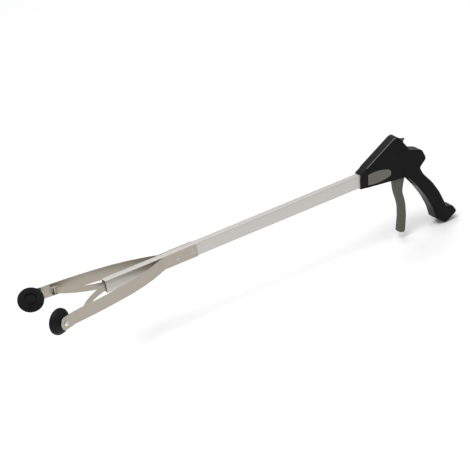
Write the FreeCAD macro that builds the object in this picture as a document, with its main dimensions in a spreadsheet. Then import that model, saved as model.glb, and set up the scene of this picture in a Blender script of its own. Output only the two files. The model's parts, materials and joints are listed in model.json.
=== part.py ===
import FreeCAD, Part
import math
import os
import re
import Sketcher

# Reacher grabber: a two-shell pistol handle, a rectangular tube, and two spring steel
# arms with rubber cups that a trigger closes through a pull rod and two strip links.
#
# Tube frame used below: X along the tube from its open front end towards the handle,
# Y to the left of someone holding the tool, Z up from the tube axis.  Every sub-part
# is placed from that frame into the object frame, whose origin is the middle of the grip.

V = FreeCAD.Vector
SIDES = (("left", 1), ("right", -1))

# ----------------------------------------------------------------------------- sizes
SIZES = {
    # where the object frame lies in the tube frame
    "grip_aft": 82.0,
    "grip_drop": 60.0,
    # fits and gaps
    "run_gap": 0.3,
    "fit_gap": 0.05,
    "shaft_gap": 0.08,
    # tube
    "tube_width": 12.7,
    "tube_height": 19.05,
    "tube_wall": 1.0,
    "tube_corner": 1.3,
    "tube_length": 456.0,
    # handle outline: aft is the distance behind the tube's end, z the height over its axis
    "collar_aft": -28.5,
    "collar_rake": 2.0,
    "collar_length": 9.0,
    "collar_top": 11.2,
    "collar_bottom": 11.4,
    "peak_aft": 44.0,
    "peak_z": 48.5,
    "notch_aft": 61.0,
    "notch_z": 19.5,
    "bump_top_aft": 81.0,
    "bump_top_z": 12.0,
    "bump_back_aft": 85.8,
    "bump_back_z": -3.0,
    "neck_aft": 72.0,
    "neck_z": -14.0,
    "back_high_aft": 76.5,
    "back_high_z": -26.0,
    "back_mid_aft": 89.5,
    "back_mid_z": -45.0,
    "back_low_aft": 98.5,
    "back_low_z": -64.0,
    "hook_root_aft": 106.5,
    "hook_root_z": -91.5,
    "hook_top_aft": 117.5,
    "hook_top_z": -95.0,
    "hook_back_aft": 122.5,
    "hook_back_z": -105.5,
    "base_tip_aft": 100.0,
    "base_tip_z": -117.0,
    "base_front_aft": 85.0,
    "base_front_z": -104.5,
    "front_low_aft": 82.6,
    "front_low_z": -86.0,
    "front_mid_aft": 75.0,
    "front_mid_z": -65.0,
    "front_high_aft": 64.5,
    "front_high_z": -44.5,
    "front_top_aft": 51.0,
    "front_top_z": -24.0,
    "under_aft": 46.0,
    "under_z": -20.5,
    # handle shells
    "shell_wall": 2.2,
    "housing_width": 17.0,
    "grip_width": 25.0,
    "flare_start_aft": 41.0,
    "flare_end_aft": 67.0,
    "peak_round": 7.0,
    "bump_round": 6.5,
    "grip_round": 60.0,
    "corner_round": 1.5,
    "base_round": 3.6,
    "grip_edge_round": 3.2,
    # trigger and its pivot
    "pivot_aft": 36.0,
    "lever_radius": 34.0,
    "trigger_swing": 16.82,
    "pivot_pin": 5.0,
    "trigger_width": 11.4,
    "trigger_neck_width": 5.0,
    "trigger_boss": 11.0,
    "yoke_pin": 3.0,
    "trigger_sweep": 60.0,
    "trigger_edge_round": 2.4,
    # return spring
    "spring_wire": 0.9,
    "spring_coil": 10.0,
    "spring_turns": 1.6,
    "spring_leg": 9.0,
    # lock latch
    "latch_pin": 2.5,
    "latch_aft": 49.6,
    "latch_z": 29.0,
    "latch_width": 4.0,
    # pull rod
    "rod_diameter": 3.2,
    "rod_travel": 9.95,
    "rod_socket": 8.0,
    "eye_width": 4.0,
    "eye_length": 16.0,
    "eye_height": 9.0,
    # crosshead in the tube mouth
    "head_front": 0.6,
    "head_length": 13.5,
    "head_web": 3.5,
    "head_plate": 2.9,
    "inner_pin": 1.6,
    "inner_pin_x": 4.2,
    "inner_pin_y": 2.7,
    "slot_float_x": 0.68,
    "slot_float_y": 0.46,
    "slot_shift_x": 0.41,
    "slot_shift_y": 0.375,
    # links
    "link_width": 9.5,
    "link_thickness": 0.8,
    "link_pin_x": -57.0,
    "link_pin_y": 46.5,
    "link_bow": 17.5,
    "outer_pin": 2.0,
    "pin_head": 3.4,
    "bracket_plate": 1.0,
    "bracket_length": 9.0,
    "bracket_nose": 2.6,
    # spring steel arms
    "strip_width": 19.05,
    "strip_thickness": 1.2,
    "root_length": 55.0,
    "root_angle": 29.0,
    "hinge_x": 80.0,
    "hinge_y": 14.2,
    "hinge_gap": 0.5,
    "bend_radius": 5.0,
    "belly_angle": 13.0,
    "belly_radius": 242.5,
    "reach_angle": 6.3,
    "reach_radius": 781.0,
    "tip_angle": 21.0,
    "tip_bend_radius": 8.0,
    "tip_length": 25.5,
    "tip_round": 7.5,
    "tip_screw_at": 16.4,
    # rivets through the arm roots
    "rivet_first_x": 116.0,
    "rivet_pitch": 25.0,
    "rivet_shank": 3.2,
    "rivet_head": 6.4,
    "rivet_head_height": 1.5,
    "rivet_tail": 4.6,
    "rivet_tail_height": 1.6,
    # rubber cups
    "cup_diameter": 38.5,
    "cup_depth": 14.0,
    "cup_neck": 11.0,
    "cup_neck_length": 2.2,
    "cup_rim": 2.0,
    "cup_dish": 3.4,
    "cup_ring": 0.7,
    "cup_dome_radius": 20.0,
    "cup_dish_radius": 50.0,
    "cup_wide_ring": 27.7,
    "cup_close_ring": 16.2,
    # cup screws and nuts
    "cup_screw": 4.0,
    "cup_screw_head": 8.0,
    "cup_screw_head_height": 2.8,
    "cup_screw_length": 8.5,
    "cup_nut_flats": 7.0,
    "cup_nut_height": 3.2,
    "cup_nut_depth": 3.4,
    # inlays
    "inlay_depth": 0.9,
    "inlay_proud": 0.5,
    "inlay_gap": 0.15,
    # housing screws
    "screw_shaft": 2.9,
    "screw_head": 5.6,
    "screw_head_height": 1.8,
    "screw_boss": 6.4,
    "screw_seat": 0.3,
    "screw_length": 13.2,
    "screw_front_aft": -7.0,
    "screw_front_z": 14.4,
    "screw_ridge_aft": 18.0,
    "screw_ridge_z": 21.0,
    "screw_bump_aft": 73.0,
    "screw_bump_z": 3.0,
    "screw_grip_aft": 89.0,
    "screw_grip_z": -69.0,
    "screw_base_aft": 104.0,
    "screw_base_z": -104.0,
}

SHALLOW_SCREWS = ("front", "ridge")
DEEP_SCREWS = ("bump", "grip", "base")

doc = FreeCAD.newDocument("ReacherGrabber")
sheet = doc.addObject("Spreadsheet::Sheet", "Sizes")
for row, (alias, number) in enumerate(SIZES.items(), start=1):
    sheet.set("A%d" % row, alias)
    sheet.set("B%d" % row, str(number))
    sheet.setAlias("B%d" % row, alias)
doc.recompute()

# Sizes that several pieces share, each as one formula over the sheet.
SHARED = {
    "half_tube": "tube_width / 2",
    "half_tube_high": "tube_height / 2",
    "half_bore": "(tube_width / 2 - tube_wall)",
    "half_bore_high": "(tube_height / 2 - tube_wall)",
    "half_housing": "housing_width / 2",
    "half_grip": "grip_width / 2",
    "half_cavity": "(housing_width / 2 - shell_wall)",
    "half_grip_cavity": "(grip_width / 2 - shell_wall)",
    "screw_dome": "(cup_screw_head_height * 0.7)",
    "screw_dome_radius": "((cup_screw_head / 2) ^ 2 + screw_dome ^ 2) / (2 * screw_dome)",
    "shallow_seat": "(housing_width / 2 - screw_seat - screw_head_height)",
    "deep_seat": "(grip_width / 2 - screw_seat * 8 - screw_head_height)",
    "pivot_z": "(lever_radius * cos(trigger_swing / 2) + lever_radius * (1 - cos(trigger_swing / 2)) / 2)",
    "yoke_x": "(pivot_x - lever_radius * sin(trigger_swing / 2))",
    "yoke_z": "(lever_radius * (1 - cos(trigger_swing / 2)) / 2)",
    "root_y": "(tube_width / 2 + strip_thickness / 2)",
    "bend_x": "(hinge_x + (hinge_y - tube_width / 2 - strip_thickness / 2) / tan(root_angle))",
    "belly_x": "(hinge_x - belly_radius * (sin(root_angle) - sin(belly_angle)))",
    "belly_y": "(hinge_y + belly_radius * (cos(belly_angle) - cos(root_angle)))",
    "reach_x": "(belly_x - reach_radius * (sin(belly_angle) - sin(reach_angle)))",
    "reach_y": "(belly_y + reach_radius * (cos(reach_angle) - cos(belly_angle)))",
    "tip_x": "(reach_x - tip_bend_radius * (sin(tip_angle) - sin(reach_angle)))",
    "tip_y": "(reach_y + tip_bend_radius * (cos(reach_angle) - cos(tip_angle)))",
    "end_x": "(tip_x - tip_length * cos(tip_angle))",
    "end_y": "(tip_y + tip_length * sin(tip_angle))",
    "seat_x": "(tip_x - tip_screw_at * cos(tip_angle))",
    "seat_y": "(tip_y + tip_screw_at * sin(tip_angle))",
}


# Everything at the handle keeps its distance from the tube's end.
SHARED.update({
    alias[:-len("_aft")] + "_x": "(tube_length + %s)" % alias for alias in SIZES if alias.endswith("_aft")
})


def spell(text):
    """Write a formula over the sheet: shared names are opened, sheet names get their prefix."""
    for _ in range(6):
        text = re.sub(r"[a-z_]+", lambda m: SHARED.get(m.group(0), m.group(0)), text)
    return re.sub(r"[a-z_]+", lambda m: "Sizes." + m.group(0) if m.group(0) in SIZES else m.group(0), text)


def size(text):
    """Value of a formula over the sheet."""
    return float(sheet.evalExpression(spell(text)))


def mirrored(side, text):
    """A Y formula for the left side, turned over for the right side."""
    return text if side > 0 else "-(%s)" % text


def place(obj, at_x="0", at_y="0", at_z="0", turn=None):
    """Place a sub-part whose own origin lies at a point of the tube frame, turned about Z."""
    if turn is not None:
        obj.Placement = FreeCAD.Placement(V(0, 0, 0), FreeCAD.Rotation(V(0, 0, 1), 30))
        obj.setExpression("Placement.Rotation.Angle", spell(turn))
    obj.setExpression("Placement.Base.x", spell("%s - grip_x" % at_x))
    obj.setExpression("Placement.Base.y", spell(at_y))
    obj.setExpression("Placement.Base.z", spell("%s + grip_drop" % at_z))
    obj.Label = obj.Name


# ---------------------------------------------------------------- feature helpers
def new_body(name):
    return doc.addObject("PartDesign::Body", name)


def plane_sketch(body, name, role, offset=None):
    sketch = body.newObject("Sketcher::SketchObject", name)
    plane = [item for item in body.Origin.OriginFeatures if item.Role == role][0]
    sketch.AttachmentSupport = (plane, "")
    sketch.MapMode = "FlatFace"
    if offset is not None:
        sketch.setExpression("AttachmentOffset.Base.z", spell(offset))
    return sketch


def pin_point(sketch, edge, end, across, along):
    """Fix one end of a sketch edge at a pair of formulas."""
    for kind, axis, text in (("DistanceX", -2, across), ("DistanceY", -1, along)):
        number = size(text)
        if abs(number) < 1e-9:
            sketch.addConstraint(Sketcher.Constraint("PointOnObject", edge, end, axis))
            continue
        index = sketch.addConstraint(Sketcher.Constraint(kind, -1, 1, edge, end, number))
        sketch.setExpression("Constraints[%d]" % index, spell(text))


def outline(sketch, corners):
    """Closed outline.  Each corner is (across, along) or (across, along, radius, turn):
    with a radius the edge that leaves the corner is an arc, turn +1 left or -1 right."""
    points = [V(size(corner[0]), size(corner[1]), 0) for corner in corners]
    count = len(corners)
    first = sketch.GeometryCount
    ends = []
    for i, corner in enumerate(corners):
        start = points[i]
        stop = points[(i + 1) % count]
        if len(corner) == 2:
            sketch.addGeometry(Part.LineSegment(start, stop))
            ends.append((1, 2))
            continue
        radius = size(corner[2])
        turn = corner[3]
        chord = stop - start
        middle = (start + stop) * 0.5
        rise = math.sqrt(max(radius ** 2 - (chord.Length / 2) ** 2, 0.0))
        normal = V(-chord.y, chord.x, 0).normalize()
        centre = middle + normal * (rise * turn)
        angle_start = math.atan2(start.y - centre.y, start.x - centre.x)
        angle_stop = math.atan2(stop.y - centre.y, stop.x - centre.x)
        circle = Part.Circle(centre, V(0, 0, 1), radius)
        if turn > 0:
            sketch.addGeometry(Part.ArcOfCircle(circle, angle_start, angle_stop))
            ends.append((1, 2))
        else:
            sketch.addGeometry(Part.ArcOfCircle(circle, angle_stop, angle_start))
            ends.append((2, 1))
        index = sketch.addConstraint(Sketcher.Constraint("Radius", first + i, radius))
        sketch.setExpression("Constraints[%d]" % index, spell(corner[2]))
    for i, corner in enumerate(corners):
        before = (i - 1) % count
        sketch.addConstraint(
            Sketcher.Constraint("Coincident", first + before, ends[before][1], first + i, ends[i][0])
        )
        pin_point(sketch, first + i, ends[i][0], corner[0], corner[1])


def circle(sketch, across, along, diameter):
    index = sketch.addGeometry(Part.Circle(V(size(across), size(along), 0), V(0, 0, 1), size(diameter) / 2))
    pin_point(sketch, index, 3, across, along)
    constraint = sketch.addConstraint(Sketcher.Constraint("Diameter", index, size(diameter)))
    sketch.setExpression("Constraints[%d]" % constraint, spell(diameter))


def box_outline(sketch, low_across, high_across, low_along, high_along):
    outline(sketch, [
        (low_across, low_along),
        (high_across, low_along),
        (high_across, high_along),
        (low_across, high_along),
    ])


def hexagon(sketch, flats):
    """Regular hexagon about the origin, two flats across the sketch's X."""
    corners = []
    for step in range(6):
        angle = 30 + 60 * step
        corners.append(("%s / 2 / cos(30) * cos(%d)" % (flats, angle), "%s / 2 / cos(30) * sin(%d)" % (flats, angle)))
    outline(sketch, corners)


def pad(body, sketch, length, both=False, back=False):
    feature = body.newObject("PartDesign::Pad", sketch.Name + "_pad")
    feature.Profile = sketch
    feature.setExpression("Length", spell(length))
    feature.Midplane = both
    feature.Reversed = back
    finish(body, feature, grows=True)
    return feature


def pocket(body, sketch, length=None, both=False, back=False):
    """Cut a sketch's outline; with no length the cut goes through everything."""
    feature = body.newObject("PartDesign::Pocket", sketch.Name + "_cut")
    feature.Profile = sketch
    if length is None:
        feature.Type = "ThroughAll"
    else:
        feature.setExpression("Length", spell(length))
    feature.Midplane = both
    feature.Reversed = back
    finish(body, feature, grows=False)
    return feature


def revolve(body, sketch, axis="V_Axis"):
    feature = body.newObject("PartDesign::Revolution", sketch.Name + "_turn")
    feature.Profile = sketch
    feature.ReferenceAxis = (sketch, [axis])
    feature.Angle = 360
    finish(body, feature, grows=True)
    return feature


def finish(body, feature, grows):
    """Recompute and make sure that the feature changed the body the way it should."""
    before = 0.0
    base = feature.BaseFeature
    if base is not None:
        before = base.Shape.Volume
    doc.recompute()
    if feature.Shape.isNull():
        raise RuntimeError("%s of %s makes no shape" % (feature.Name, body.Name))
    body.Tip = feature
    change = feature.Shape.Volume - before
    if (change > 0) != grows or abs(change) < 1e-6:
        raise RuntimeError("%s of %s does not change the body as meant" % (feature.Name, body.Name))


def edges_where(shape, test):
    return ["Edge%d" % (i + 1) for i, edge in enumerate(shape.Edges) if test(edge)]


def dress(body, kind, tag, amount, test):
    """Fillet or chamfer of every edge that passes the test."""
    base = body.Tip
    names = edges_where(base.Shape, test)
    if not names:
        raise RuntimeError("%s of %s finds no edge" % (tag, body.Name))
    feature = body.newObject("PartDesign::" + kind, tag)
    feature.Base = (base, names)
    feature.setExpression("Radius" if kind == "Fillet" else "Size", spell(amount))
    doc.recompute()
    if feature.Shape.isNull() or not feature.Shape.isValid():
        raise RuntimeError("%s of %s does not compute" % (tag, body.Name))
    body.Tip = feature
    return feature


def stands_at(edge, at_x, at_z):
    """True for an edge along Y at a point of the XZ plane."""
    ends = edge.Vertexes
    if len(ends) != 2:
        return False
    return all(abs(v.X - at_x) < 0.01 and abs(v.Z - at_z) < 0.01 for v in ends)


# ------------------------------------------------------------------------------ tube
def rounded_box(sketch, half_across, half_along, radius):
    corners = []
    for across, along, first_across in ((1, -1, False), (1, 1, True), (-1, 1, False), (-1, -1, True)):
        edge_a = "%d * (%s)" % (across, half_across)
        edge_b = "%d * (%s)" % (along, half_along)
        in_a = "%d * (%s - %s)" % (across, half_across, radius)
        in_b = "%d * (%s - %s)" % (along, half_along, radius)
        if first_across:
            corners.append((edge_a, in_b, radius, 1))
            corners.append((in_a, edge_b))
        else:
            corners.append((in_a, edge_b, radius, 1))
            corners.append((edge_a, in_b))
    outline(sketch, corners)


def build_tube():
    body = new_body("tube")
    sketch = plane_sketch(body, "tube_outer", "YZ_Plane")
    rounded_box(sketch, "half_tube", "half_tube_high", "tube_corner")
    pad(body, sketch, "tube_length")
    sketch = plane_sketch(body, "tube_bore", "YZ_Plane")
    rounded_box(sketch, "half_bore", "half_bore_high", "tube_corner / 3")
    pocket(body, sketch, "tube_length", back=True)
    sketch = plane_sketch(body, "tube_rivet_holes", "XZ_Plane")
    circle(sketch, "rivet_first_x", "0", "rivet_shank + 2 * fit_gap")
    circle(sketch, "rivet_first_x + rivet_pitch", "0", "rivet_shank + 2 * fit_gap")
    pocket(body, sketch, "tube_width * 2", both=True)
    place(body)


# --------------------------------------------------------------------- handle shells
HANDLE = (
    ("peak_x", "peak_z"),
    ("notch_x", "notch_z"),
    ("bump_top_x", "bump_top_z"),
    ("bump_back_x", "bump_back_z"),
    ("neck_x", "neck_z"),
    ("back_high_x", "back_high_z"),
    ("back_mid_x", "back_mid_z"),
    ("back_low_x", "back_low_z"),
    ("hook_root_x", "hook_root_z"),
    ("hook_top_x", "hook_top_z"),
    ("hook_back_x", "hook_back_z"),
    ("base_tip_x", "base_tip_z"),
    ("base_front_x", "base_front_z"),
    ("front_low_x", "front_low_z"),
    ("front_mid_x", "front_mid_z"),
    ("front_high_x", "front_high_z"),
    ("front_top_x", "front_top_z"),
    ("under_x", "under_z"),
)
ROUNDS = (
    ("peak", "peak_round"),
    ("notch", "corner_round * 2"),
    ("bump_top", "bump_round"),
    ("bump_back", "bump_round"),
    ("neck", "corner_round * 3"),
    ("back_high", "grip_round / 3"),
    ("back_mid", "grip_round"),
    ("back_low", "grip_round"),
    ("hook_root", "base_round"),
    ("hook_top", "base_round"),
    ("hook_back", "base_round"),
    ("base_tip", "base_round"),
    ("base_front", "base_round"),
    ("front_low", "grip_round"),
    ("front_mid", "grip_round"),
    ("front_high", "grip_round"),
    ("front_top", "corner_round"),
    ("under", "corner_round"),
)
# Slope of the ridge from the collar to the peak, as height gained per length.
RIDGE_RISE = "((peak_z - collar_top) / (peak_x - collar_x - collar_rake))"
UNDER_FALL = "((collar_bottom + under_z) / (under_x - collar_x + collar_rake))"


def collar_corner(top, back):
    """Corner of the raked collar, front or back, on the ridge line or the underside."""
    if top:
        across = "(collar_x + collar_rake%s)" % (" + collar_length" if back else "")
        along = "(collar_top%s)" % (" + collar_length * " + RIDGE_RISE if back else "")
    else:
        across = "(collar_x - collar_rake%s)" % (" + collar_length" if back else "")
        along = "(-collar_bottom%s)" % (" + collar_length * " + UNDER_FALL if back else "")
    return across, along


def inlay_outline(sketch, shrink):
    """Leaf shape on the housing side: a raked flat end, two long arcs and a round tip."""
    lean = "collar_rake / collar_top"
    corners = [
        ("collar_x + collar_length + 3 + %s - 8 * %s" % (shrink, lean), "-9.2 + %s" % shrink, "78", 1),
        ("collar_x + 49", "-8.6 + %s" % shrink, "6.2 - %s" % shrink, 1),
        ("collar_x + 50", "1.6 - %s" % shrink, "62", 1),
        ("collar_x + collar_length + 3 + %s + 7 * %s" % (shrink, lean), "6.4 - %s" % shrink),
    ]
    outline(sketch, corners)


def build_shell(name, side):
    """One half of the handle, from the middle plane outwards."""
    body = new_body(name)
    outward = side < 0
    sketch = plane_sketch(body, name + "_outline", "XZ_Plane")
    corners = [collar_corner(False, True)]
    corners.append(collar_corner(True, True))
    corners.extend(HANDLE)
    outline(sketch, list(reversed(corners)))
    pad(body, sketch, "half_grip", back=not outward)
    for corner, radius in ROUNDS:
        at_x = size(corner + "_x")
        at_z = size(corner + "_z")
        dress(body, "Fillet", "%s_%s_round" % (name, corner), radius,
              lambda edge: stands_at(edge, at_x, at_z))
    wide_y = side * size("half_grip")

    def on_grip_edge(edge):
        box = edge.BoundBox
        return abs(box.Center.y - wide_y) < 0.01 and box.XMin > size("collar_x + collar_length + collar_rake") - 1

    dress(body, "Fillet", name + "_grip_edges", "grip_edge_round", on_grip_edge)
    # the housing is thinner than the grip and flares out to it
    sketch = plane_sketch(body, name + "_flare", "XY_Plane", "-grip_drop * 3")
    near = mirrored(side, "half_housing")
    wide = mirrored(side, "half_grip")
    far = mirrored(side, "(half_grip + 5)")
    outline(sketch, [
        ("collar_x - 5", near),
        ("flare_start_x", near),
        ("flare_end_x", wide),
        ("flare_end_x + 1", far),
        ("collar_x - 5", far),
    ])
    pocket(body, sketch, "grip_drop * 6", back=True)

    # working cavity for the lever, latch and rod end; it is open below for the trigger
    sketch = plane_sketch(body, name + "_cavity", "XZ_Plane")
    wall = "shell_wall"
    outline(sketch, [
        ("tube_length + %s" % wall, "-13.5 + 0.2 * %s" % wall),
        ("tube_length + %s" % wall, "collar_top + 12"),
        ("pivot_x + 1", "peak_z - 3.1 * %s" % wall),
        ("peak_x", "peak_z - 3.8 * %s" % wall),
        ("notch_x - 2.2 * %s" % wall, "notch_z + 0.3 * %s" % wall),
        ("notch_x - %s + 2" % wall, "notch_z - 20"),
        ("neck_x - 2.6 * %s" % wall, "neck_z - 12"),
        ("front_high_x - 1", "front_high_z + 1"),
        ("front_high_x - 12", "front_high_z + 1"),
        ("front_top_x - 2", "under_z - 10"),
        ("pivot_x - 15", "under_z - 10"),
        ("pivot_x - 15", "-13.5 + 0.2 * %s" % wall),
    ][::-1])
    pocket(body, sketch, "half_cavity", back=outward)
    # grip core
    sketch = plane_sketch(body, name + "_core", "XZ_Plane")
    deep = "2.2 * shell_wall"
    outline(sketch, [
        ("front_high_x + 1.6 * %s" % deep, "front_high_z - 2"),
        ("back_mid_x - %s" % deep, "back_mid_z + 1"),
        ("back_low_x - %s" % deep, "back_low_z"),
        ("hook_root_x - 1.5 * %s" % deep, "hook_root_z + 1"),
        ("front_low_x + %s" % deep, "hook_root_z + 1"),
        ("front_mid_x + %s" % deep, "front_mid_z"),
    ][::-1])
    pocket(body, sketch, "half_grip_cavity", back=outward)
    # channel that holds the tube
    sketch = plane_sketch(body, name + "_channel", "YZ_Plane", "collar_x - 5")
    reach = mirrored(side, "(half_tube + fit_gap)")
    behind = mirrored(side, "-3")
    box_outline(sketch, *((behind, reach) if side > 0 else (reach, behind)),
                "-half_tube_high - fit_gap", "half_tube_high + fit_gap")
    pocket(body, sketch, "tube_length - collar_x + 5 + fit_gap", back=True)
    # slot for the rod end, in front of the lever
    sketch = plane_sketch(body, name + "_rod_way", "YZ_Plane", "tube_length - 1")
    way = mirrored(side, "(eye_width / 2 + 1)")
    box_outline(sketch, *((behind, way) if side > 0 else (way, behind)), "-eye_height / 2 - 1", "eye_height / 2 + 1")
    pocket(body, sketch, "8", back=True)
    # window for the latch thumb fin
    sketch = plane_sketch(body, name + "_latch_window", "XZ_Plane")
    box_outline(sketch, "latch_x - 3", "latch_x + 9", "latch_z - 3.6", "latch_z + 11.5")
    pocket(body, sketch, "latch_width / 2 + run_gap", back=outward)
    # screw bosses in the cavities
    sketch = plane_sketch(body, name + "_bosses", "XZ_Plane")
    circle(sketch, "screw_ridge_x", "screw_ridge_z", "screw_boss")
    pad(body, sketch, "half_cavity + 0.5", back=not outward)
    sketch = plane_sketch(body, name + "_grip_boss", "XZ_Plane")
    circle(sketch, "screw_grip_x", "screw_grip_z", "screw_boss")
    pad(body, sketch, "half_grip_cavity + 0.5", back=not outward)
    # holes for the screws: the left shell is the head side, the right one takes the thread
    sketch = plane_sketch(body, name + "_screw_holes", "XZ_Plane")
    for screw in SHALLOW_SCREWS + DEEP_SCREWS:
        circle(sketch, "screw_%s_x" % screw, "screw_%s_z" % screw, "screw_shaft + 2 * fit_gap")
    if side > 0:
        pocket(body, sketch, "grip_width", back=outward)
        sketch = plane_sketch(body, name + "_head_seats", "XZ_Plane", "-shallow_seat")
        for screw in SHALLOW_SCREWS:
            circle(sketch, "screw_%s_x" % screw, "screw_%s_z" % screw, "screw_head + 2 * fit_gap")
        pocket(body, sketch, "half_grip", back=outward)
        sketch = plane_sketch(body, name + "_deep_seats", "XZ_Plane", "-deep_seat")
        for screw in DEEP_SCREWS:
            circle(sketch, "screw_%s_x" % screw, "screw_%s_z" % screw, "screw_head + 2 * fit_gap")
        pocket(body, sketch, "half_grip", back=outward)
    else:
        pocket(body, sketch, "half_housing - 1.4", back=outward)
    # bearings for the pivot pin and the latch pin
    sketch = plane_sketch(body, name + "_bearings", "XZ_Plane")
    circle(sketch, "pivot_x", "pivot_z", "pivot_pin + 2 * shaft_gap")
    circle(sketch, "latch_x", "latch_z", "latch_pin + 2 * shaft_gap")
    pocket(body, sketch, "half_cavity + shell_wall / 2", back=outward)
    # shallow seat for the side inlay
    sketch = plane_sketch(body, name + "_inlay_seat", "XZ_Plane",
                          "half_housing" if outward else "-half_housing")
    inlay_outline(sketch, "0")
    pocket(body, sketch, "inlay_depth", back=not outward)
    place(body)


def build_collar():
    """Black band round the tube at the front of the handle."""
    body = new_body("tube_collar")
    sketch = plane_sketch(body, "collar_side", "XZ_Plane")
    outline(sketch, [
        collar_corner(False, False), collar_corner(False, True),
        collar_corner(True, True), collar_corner(True, False),
    ])
    pad(body, sketch, "housing_width + 0.6", both=True)
    sketch = plane_sketch(body, "collar_bore", "YZ_Plane")
    rounded_box(sketch, "half_tube + fit_gap", "half_tube_high + fit_gap", "tube_corner")
    pocket(body, sketch, "tube_length * 2", back=True)
    rim = size("half_housing + 0.3")
    dress(body, "Fillet", "collar_edges", "corner_round",
          lambda edge: edge.BoundBox.XLength > size("collar_length") - 0.5
          and abs(abs(edge.BoundBox.Center.y) - rim) < 0.01)
    place(body)


def build_inlay(name, side):
    body = new_body(name)
    outward = side < 0
    sketch = plane_sketch(body, name + "_outline", "XZ_Plane",
                          "half_housing - inlay_depth" if outward else "-half_housing + inlay_depth")
    inlay_outline(sketch, "inlay_gap")
    pad(body, sketch, "inlay_depth + inlay_proud", back=not outward)
    rim = size("half_housing + inlay_proud")
    dress(body, "Fillet", name + "_edge", "inlay_proud * 0.8",
          lambda edge: abs(abs(edge.BoundBox.Center.y) - rim) < 0.01)
    place(body)


def build_housing_screws():
    """Five equal screws that hold the shells together, heads on the left."""
    solids = []
    for screw in SHALLOW_SCREWS + DEEP_SCREWS:
        seat_y = size("shallow_seat" if screw in SHALLOW_SCREWS else "deep_seat")
        long = size("screw_length")
        shaft = Part.makeCylinder(size("screw_shaft") / 2, long, V(0, seat_y - long, 0), V(0, 1, 0))
        head = Part.makeCylinder(size("screw_head") / 2, size("screw_head_height"), V(0, seat_y, 0), V(0, 1, 0))
        solid = head.fuse(shaft).removeSplitter()
        cross = size("screw_head") * 0.6
        for long_x, long_z in ((cross, 0.8), (0.8, cross)):
            bar = Part.makeBox(long_x, 1.0, long_z, V(-long_x / 2, seat_y + size("screw_head_height") - 1.0, -long_z / 2))
            solid = solid.cut(bar)
        solid = solid.Solids[0]
        solid.translate(V(size("screw_%s_x" % screw), 0, size("screw_%s_z" % screw)))
        solids.append(solid)
    part = doc.addObject("Part::Feature", "housing_screws")
    part.Shape = Part.makeCompound(solids)
    place(part)


# ----------------------------------------------------------------- trigger and latch
# Trigger outline: across from the pivot, height from the tube axis, corner radius.
TRIGGER = (
    ("-15.9", "-104.0", "4"),
    ("-4.2", "-108.2", "4"),
    ("2.6", "-82", "trigger_sweep"),
    ("5.2", "-60", "trigger_sweep"),
    ("3.0", "-42", "trigger_sweep / 3"),
    ("11.2", "-21", "0"),
    ("-9.5", "4", "0"),
    ("-8.6", "-20", "0"),
    ("-9.4", "-40", "trigger_sweep"),
    ("-6.0", "-62", "trigger_sweep"),
    ("-9.2", "-82", "trigger_sweep"),
)


def build_trigger():
    """Lever on the pivot pin, its own origin on the pivot axis."""
    body = new_body("trigger")
    sketch = plane_sketch(body, "trigger_outline", "XZ_Plane")
    corners = [("%s" % across, "%s - pivot_z" % along) for across, along, _ in TRIGGER[:6]]
    corners.extend([
        ("trigger_boss / 2", "0", "trigger_boss / 2", 1),
        ("0", "trigger_boss / 2", "trigger_boss / 2", 1),
        ("-trigger_boss / 2", "0"),
    ])
    corners.extend([("%s" % across, "%s - pivot_z" % along) for across, along, _ in TRIGGER[6:]])
    outline(sketch, corners)
    pad(body, sketch, "trigger_width", both=True)
    for number, (across, along, radius) in enumerate(TRIGGER):
        if radius == "0":
            continue
        at_x = size(across)
        at_z = size("%s - pivot_z" % along)
        dress(body, "Fillet", "trigger_round_%d" % number, radius,
              lambda edge: stands_at(edge, at_x, at_z))

    def on_finger_edge(edge):
        box = edge.BoundBox
        level = abs(abs(box.Center.y) - size("trigger_width / 2")) < 0.01 and box.YLength < 0.01
        return level and box.ZMax < size("-pivot_z - 40") and edge.Length > 3

    dress(body, "Fillet", "trigger_finger_edges", "trigger_edge_round", on_finger_edge)
    # thin upper lever beside the return spring
    for name, sign in (("left", 1), ("right", -1)):
        sketch = plane_sketch(body, "trigger_thin_" + name, "XZ_Plane",
                              "%d * trigger_width / 2" % (-sign))
        box_outline(sketch, "-trigger_boss", "trigger_boss", "-pivot_z + 12", "trigger_boss")
        pocket(body, sketch, "(trigger_width - trigger_neck_width) / 2", back=sign > 0)
    sketch = plane_sketch(body, "trigger_slit", "XZ_Plane")
    box_outline(sketch, "-trigger_boss - 5", "5.4", "-pivot_z - eye_height / 2 - 1.8",
                "-pivot_z + eye_height / 2 + 1.8")
    pocket(body, sketch, "eye_width + 2 * run_gap", both=True)
    sketch = plane_sketch(body, "trigger_bores", "XZ_Plane")
    circle(sketch, "0", "0", "pivot_pin + 2 * shaft_gap")
    circle(sketch, "yoke_x - pivot_x", "yoke_z - pivot_z", "yoke_pin + 2 * fit_gap")
    pocket(body, sketch, "trigger_width * 2", both=True)
    place(body, "pivot_x", "0", "pivot_z")


def build_pin(name, diameter, length, at_x, at_y, at_z, axis):
    """Plain round pin with small end chamfers, its own origin at its middle."""
    body = new_body(name)
    sketch = plane_sketch(body, name + "_round", "XZ_Plane" if axis == "Y" else "XY_Plane")
    circle(sketch, "0", "0", diameter)
    pad(body, sketch, length, both=True)
    dress(body, "Chamfer", name + "_ends", diameter + " / 12", lambda edge: edge.Closed)
    place(body, at_x, at_y, at_z)


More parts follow.
